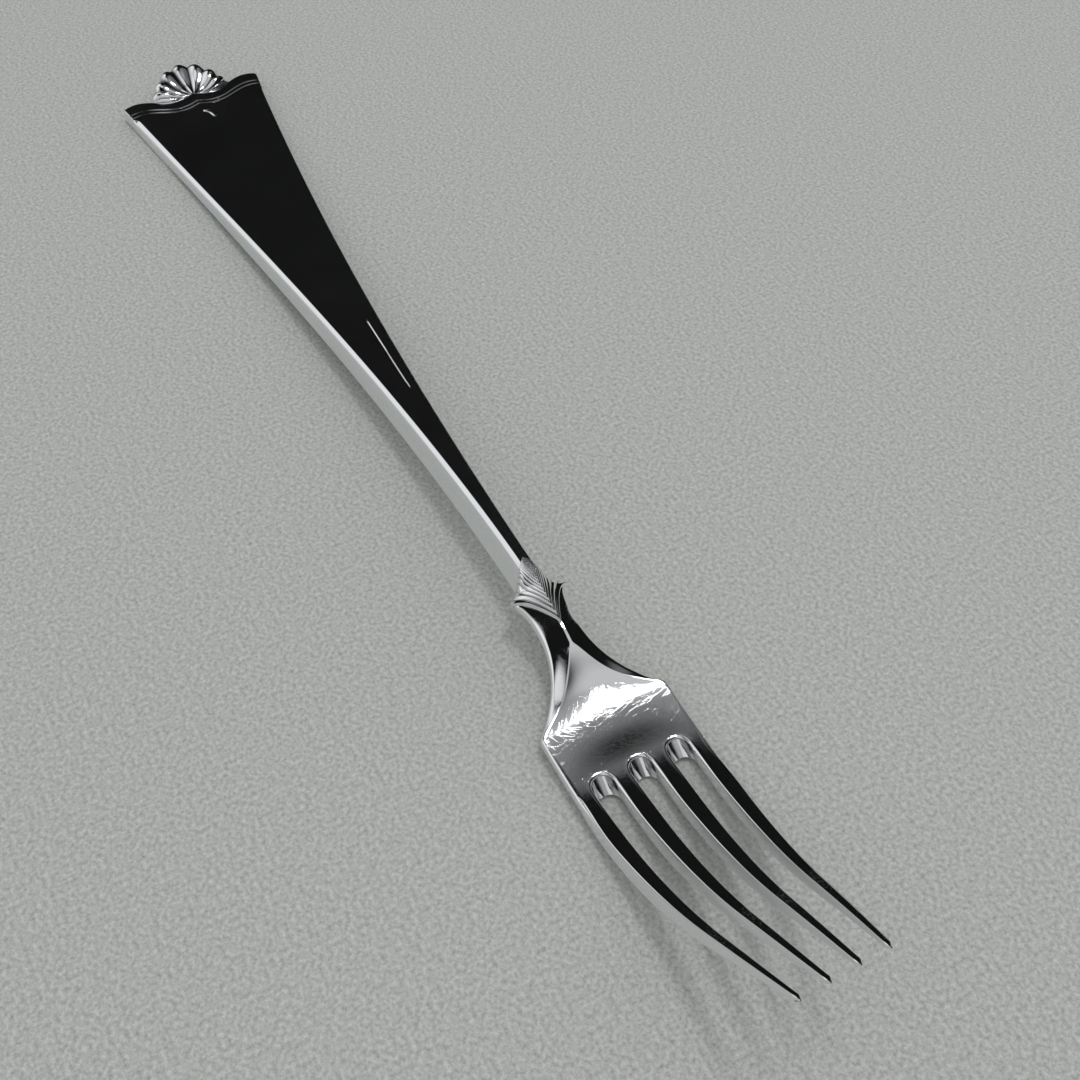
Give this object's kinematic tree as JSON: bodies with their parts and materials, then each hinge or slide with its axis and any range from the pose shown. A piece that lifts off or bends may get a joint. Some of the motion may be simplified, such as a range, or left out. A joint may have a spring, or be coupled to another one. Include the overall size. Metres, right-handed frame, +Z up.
{
  "type": "child fork",
  "caption": "Child's table fork in polished silver: flared bevelled handle with a scallop shell crest, a ribbed leaf collar at the neck, and slim tines that curve upward.",
  "frame": {"origin": "middle of the fork's length and width, on the table it lies on", "axes": "+X towards the tine tips, +Z up, out of the face with the ornament, +Y to the left of someone who looks from the handle towards the tines"},
  "size_m": [0.1532, 0.0196, 0.0139],
  "materials": {
    "polished_silver": "mirror polished with fine wear scratches",
    "worked_silver": "polished relief with dark tarnish in the grooves"
  },
  "bodies": {
    "root": {"handle": "polished_silver", "shell": "worked_silver", "leaf_collar": "worked_silver", "fork_head": "polished_silver"}
  },
  "joints": []
}
